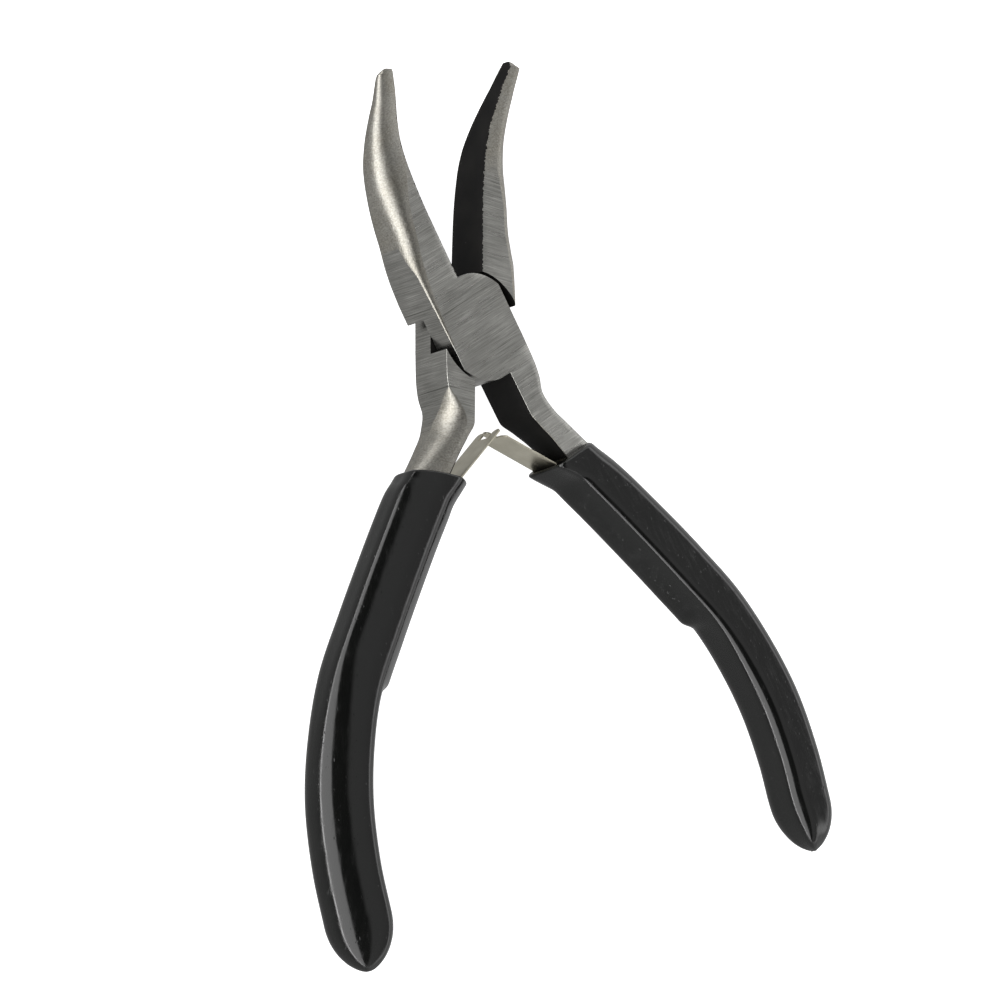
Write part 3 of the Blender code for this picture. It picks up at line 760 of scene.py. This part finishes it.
def sleeve_section(share, inset, mirrored):
    """Section of the sleeve's outer skin, pulled in by inset."""
    nose = min(1.0, (1 - share) / GRIP_NOSE + GRIP_TIP_SHARE)
    size = (1 - (1 - nose) ** 2) ** GRIP_NOSE_POWER
    half_w = (GRIP_HALF_W + GRIP_SWELL * smoothstep(*GRIP_SWELL_SPAN, share)) * size - inset
    middle = GRIP_TOP / 2
    half_t = middle * size - inset
    left = -half_w - LIP_FLARE[mirrored] * (1 - smoothstep(0.0, LIP_END, share))
    right = half_w
    if not mirrored:
        left += TRIM_A * smoothstep(*TRIM_A_SPAN, share)
        right -= NARROW_A * (1 - smoothstep(*NARROW_A_SPAN, share))
    corners = sleeve_corners(share, size, inset, mirrored)
    ring = section(left, right, middle - half_t, middle + half_t, corners)
    bulge = BULGE * (1 - smoothstep(*BULGE_END_SPAN, share))
    fade = BULGE_FADE[mirrored]
    return [(u - bulge * bulge_shape(u / half_w, (z - middle) / middle, fade), z, part)
            for u, z, part in ring]


def bulge_shape(across, height, fade):
    """How much of the bulge a point gets: it is on the inner side, and fades towards the top."""
    return min(max(-across, 0.0), 1.0) * (1 - smoothstep(*fade, height))


def hollow_ring(share):
    """Section of the hollow in the mouth, which holds the bar and the spring."""
    at, _ = bar_point(share)
    hug = HUG + HUG_DEEP * smoothstep(HUG_FROM, HOLLOW_DEPTH, share)
    room = SPRING_ROOM + MOUTH_ROOM * (1 - smoothstep(0.0, LIP_END, share))
    height = (BAR_TOP - BAR_BOTTOM) / 2 + hug
    ring = section(-BAR_HALF_W - room, BAR_HALF_W + hug, MID_Z - height, MID_Z + height,
                   (HOLLOW_CORNER, BAR_CORNER, BAR_CORNER, HOLLOW_CORNER))
    return lay_ring(ring, at, bar_across(share))


def sleeve_rings(mirrored):
    """Rings from inside the mouth, over its round rim and down to the closed end."""
    rings = [hollow_ring(HOLLOW_DEPTH * (1 - i / HOLLOW_STATIONS)) for i in range(HOLLOW_STATIONS + 1)]
    at, along = bar_point(0.0)
    for i in range(LIP_STEPS + 1):
        a = math.pi / 2 * i / LIP_STEPS
        ring = sleeve_section(0.0, LIP_R * (1 - math.sin(a)) + LIP_INSET, mirrored)
        rings.append(lay_ring(ring, at + along * LIP_R * (1 - math.cos(a)) * LIP_DEPTH, bar_across(0.0)))
    for i in range(1, GRIP_STATIONS + 1):
        share = LIP_STATION + (1 - LIP_STATION) * (1 - (1 - i / GRIP_STATIONS) ** GRIP_CROWDING)
        at, _ = bar_point(share)
        rings.append(lay_ring(sleeve_section(share, 0.0, mirrored), at, bar_across(share)))
    return rings


def sleeve(name, mirrored):
    bm = bmesh.new()
    first, last = skin(bm, sleeve_rings(mirrored))
    bm.faces.new(first)
    bm.faces.new(last)
    result = finish_mesh(bm, name, [VINYL], mirrored)
    mark_edges(result, SHARP_SLEEVE)
    result.rotation_euler = (0, 0, -OPEN_HALF if mirrored else OPEN_HALF)
    return result


# ---------------------------------------------------------------- springs

def spring_hinge():
    """The bend of the spring in half A's shut frame, from the CAD joint."""
    x, y, _ = JOINTS["leaf_a_bend"]["pos_m"]
    c, s = math.cos(OPEN_HALF), math.sin(OPEN_HALF)
    return Vector(((x * c + y * s) / MM, (y * c - x * s) / MM))


def strip_point(u):
    """Point and normal in plan at distance u from the bend; negative u is the anchored part."""
    hinge = spring_hinge()
    root = (hinge - SPRING_ROOT).normalized()
    leaf = Vector((math.cos(SPRING_ANGLE), math.sin(SPRING_ANGLE)))
    bend = root.angle_signed(leaf)
    half = SPRING_BEND_R * math.tan(abs(bend) / 2)
    if u <= -half:
        at, along = hinge + root * u, root
    elif u >= half:
        at, along = hinge + leaf * u, leaf
    else:
        t = (u + half) / (2 * half)
        at = ((hinge - root * half) * (1 - t) ** 2 + 2 * hinge * t * (1 - t)
              + (hinge + leaf * half) * t ** 2)
        along = root.lerp(leaf, t).normalized()
    return at, Vector((-along.y, along.x))


STRIP_COLUMNS = 60
END_STEPS = 10
END_SQUEEZE = 0.12                 # width left at the very end of a tongue, as a share


def strip_columns():
    """Even distances along the strip, from its anchor to where its end narrows."""
    start = -(SPRING_ROOT - spring_hinge()).length
    return [start + (SPRING_NECK - start) * i / STRIP_COLUMNS for i in range(STRIP_COLUMNS + 1)]


def join_columns(bm, here, there):
    for k in range(len(here) - 1):
        bm.faces.new((here[k], there[k], there[k + 1], here[k + 1]))


def strip_end(bm, last, heights):
    """Straight tongue with a round end, grown from the last column of vertices."""
    middle = (heights[0] + heights[-1]) / 2
    r = (heights[-1] - heights[0]) / 2
    straight = [bm.verts.new((SPRING_L - r, z, 0)) for z in heights]
    join_columns(bm, last, straight)
    last = straight
    for i in range(1, END_STEPS + 1):
        a = math.pi / 2 * i / END_STEPS
        u = SPRING_L - r + r * math.sin(a)
        squeeze = max(math.cos(a), END_SQUEEZE)
        there = [bm.verts.new((u, middle + (z - middle) * squeeze, 0)) for z in heights]
        join_columns(bm, last, there)
        last = there


def strip(name, forked, mirrored):
    """Flat strip as a grid over (u, z), thickened and then bent in plan."""
    bm = bmesh.new()
    inner = SLOT_W / 2 if forked else TONGUE_W / 2
    half = SPRING_W / 2
    between = (half + inner) / 2
    rows = [-half, -between, -inner, 0.0, inner, between, half]
    columns = [[bm.verts.new((u, z, 0)) for z in rows] for u in strip_columns()]
    for here, there in zip(columns, columns[1:]):
        join_columns(bm, here, there)
    if not forked:
        for vert in (columns[-1][0], columns[-1][-1]):
            vert.co.x -= SPRING_SHOULDER
    for low, high in [(0, 3), (4, 7)] if forked else [(2, 5)]:
        strip_end(bm, columns[-1][low:high], rows[low:high])
    upper = bmesh.ops.extrude_face_region(bm, geom=bm.faces[:])
    raised = {v for v in upper["geom"] if isinstance(v, bmesh.types.BMVert)}
    for vert in bm.verts:
        side = 0.5 if vert in raised else -0.5
        at, normal = strip_point(vert.co.x)
        flat = at + normal * SPRING_T * side
        vert.co = Vector((flat.x, flat.y, SPRING_Z + vert.co.y)) * MM
    result = finish_mesh(bm, name, [NICKEL], mirrored)
    bevel = result.modifiers.new("edges", "BEVEL")
    bevel.width = SPRING_EDGE * MM
    bevel.segments = 2
    bevel.limit_method = "ANGLE"
    bevel.angle_limit = math.radians(40)
    applied(result)
    mark_edges(result, SHARP_SPRING)
    result.rotation_euler = (0, 0, -OPEN_HALF if mirrored else OPEN_HALF)
    return result


# ---------------------------------------------------------------- assembly

def world_point(plan, mirrored):
    """A point of half A's shut frame, in the rest pose of either half."""
    x, y = (-plan.x if mirrored else plan.x), plan.y
    turn = -OPEN_HALF if mirrored else OPEN_HALF
    c, s = math.cos(turn), math.sin(turn)
    return ((x * c - y * s) * MM, (x * s + y * c) * MM, MID_Z * MM)


def build_half(letter, mirrored):
    body = "half_" + letter
    steel = steel_half("steel_half_" + letter, mirrored)
    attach(steel, body)
    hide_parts("half_" + letter)
    cover = sleeve("dipped_sleeve_" + letter, mirrored)
    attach(cover, body)
    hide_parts("grip_" + letter)
    spring = strip("spring_strip_" + letter, mirrored, mirrored)
    start, end = [world_point(strip_point(u)[0], mirrored) for u in SPRING_BLEND]
    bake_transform(spring)
    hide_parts("spring_root_" + letter, "spring_leaf_" + letter)
    rivet = frame["nodes"]["spring_rivet_" + letter]
    rivet.data.materials.clear()
    rivet.data.materials.append(STEEL[FORGED])


def build_rivet():
    rivet = finish_mesh(turned(rivet_points(0.0), RIVET_STEPS), "ground_rivet", [STEEL[GROUND]])
    mark_edges(rivet, SHARP_STEEL)
    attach(rivet, "half_a")
    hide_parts("pivot_rivet")


build_half("a", False)
build_half("b", True)
build_rivet()


# ---------------------------------------------------------------- camera, floor and light

CAMERA_AZIMUTH = math.radians(184.45)   # about Z, from +X
CAMERA_TILT = math.radians(45.6)        # from the joint axis
CAMERA_ROLL = math.radians(-13.1)
CAMERA_DISTANCE_M = 0.658
CAMERA_LENS = 167.9
CAMERA_AIM_M = Vector((-0.00118, -0.02435, 0.00345))
FLOOR_HALF_M = 3.0
FLOOR_DROP_M = 0.0002                   # the floor lies just below the pliers


def build_camera():
    back = Vector((math.sin(CAMERA_TILT) * math.cos(CAMERA_AZIMUTH),
                   math.sin(CAMERA_TILT) * math.sin(CAMERA_AZIMUTH), math.cos(CAMERA_TILT)))
    up = Vector((0, 1, 0)) - back * back.y
    up.normalize()
    right = up.cross(back)
    c, s = math.cos(CAMERA_ROLL), math.sin(CAMERA_ROLL)
    right, up = right * c + up * s, up * c - right * s
    camera = bpy.data.objects.new("camera", bpy.data.cameras.new("camera"))
    camera.data.lens = CAMERA_LENS
    camera.data.clip_start = 0.05
    basis = Matrix((right, up, back)).transposed().to_4x4()
    camera.matrix_world = Matrix.Translation(CAMERA_AIM_M + back * CAMERA_DISTANCE_M) @ basis
    bpy.context.scene.collection.objects.link(camera)
    bpy.context.scene.camera = camera


def build_floor():
    bm = bmesh.new()
    bmesh.ops.create_grid(bm, x_segments=8, y_segments=8, size=FLOOR_HALF_M)
    material, tree, shader = new_material("pale_floor")
    speckle = local_noise(tree, (40, 40, 40), 3.0)
    tone = ramp(tree, speckle, [(0.3, (0.80, 0.80, 0.80)), (0.7, (0.82, 0.82, 0.82))])
    tree.links.new(tone, shader.inputs["Base Color"])
    shader.inputs["Roughness"].default_value = 0.9
    shader.inputs["Emission Color"].default_value = (1, 1, 1, 1)
    shader.inputs["Emission Strength"].default_value = 1.0
    floor = finish_mesh(bm, "floor", [material])
    floor.location.z = -FLOOR_DROP_M
    floor.visible_glossy = False


# Soft boxes and dark walls round the pliers: (angle from -X over the top to +X, brightness).
STUDIO_PEAK = 12.0
STUDIO = [(-180, 0.72), (-150, 0.55), (-135, 0.42), (-30, 0.46), (-12, 0.35), (2, 0.3),
          (3, STUDIO_PEAK), (5.5, STUDIO_PEAK), (6.5, 3.0), (46, 2.7), (49, 0.05), (88, 0.05),
          (96, 0.55), (120, 0.5), (143, 0.3), (147, 1.8), (154, 1.8), (157, 0.72), (180, 0.72)]


def build_light():
    """World that only varies round the Y axis, as long soft boxes along the pliers would light it."""
    world = bpy.data.worlds.new("studio")
    world.use_nodes = True
    tree = world.node_tree
    coordinates = tree.nodes.new("ShaderNodeTexCoord")
    split = tree.nodes.new("ShaderNodeSeparateXYZ")
    tree.links.new(coordinates.outputs["Generated"], split.inputs["Vector"])
    left = math_node(tree, "MULTIPLY", split.outputs["X"], -1.0)
    angle = math_node(tree, "ARCTAN2", split.outputs["Z"], left)
    turn = span(tree, angle, 0.0, 1.0, -math.pi, math.pi)
    stops = [((degrees + 180) / 360, (level / STUDIO_PEAK,) * 3) for degrees, level in STUDIO]
    glow = ramp(tree, turn, stops)
    background = tree.nodes["Background"]
    tree.links.new(glow, background.inputs["Color"])
    background.inputs["Strength"].default_value = STUDIO_PEAK
    bpy.context.scene.world = world
    bpy.context.scene.view_settings.view_transform = "Standard"


build_camera()
build_floor()
build_light()
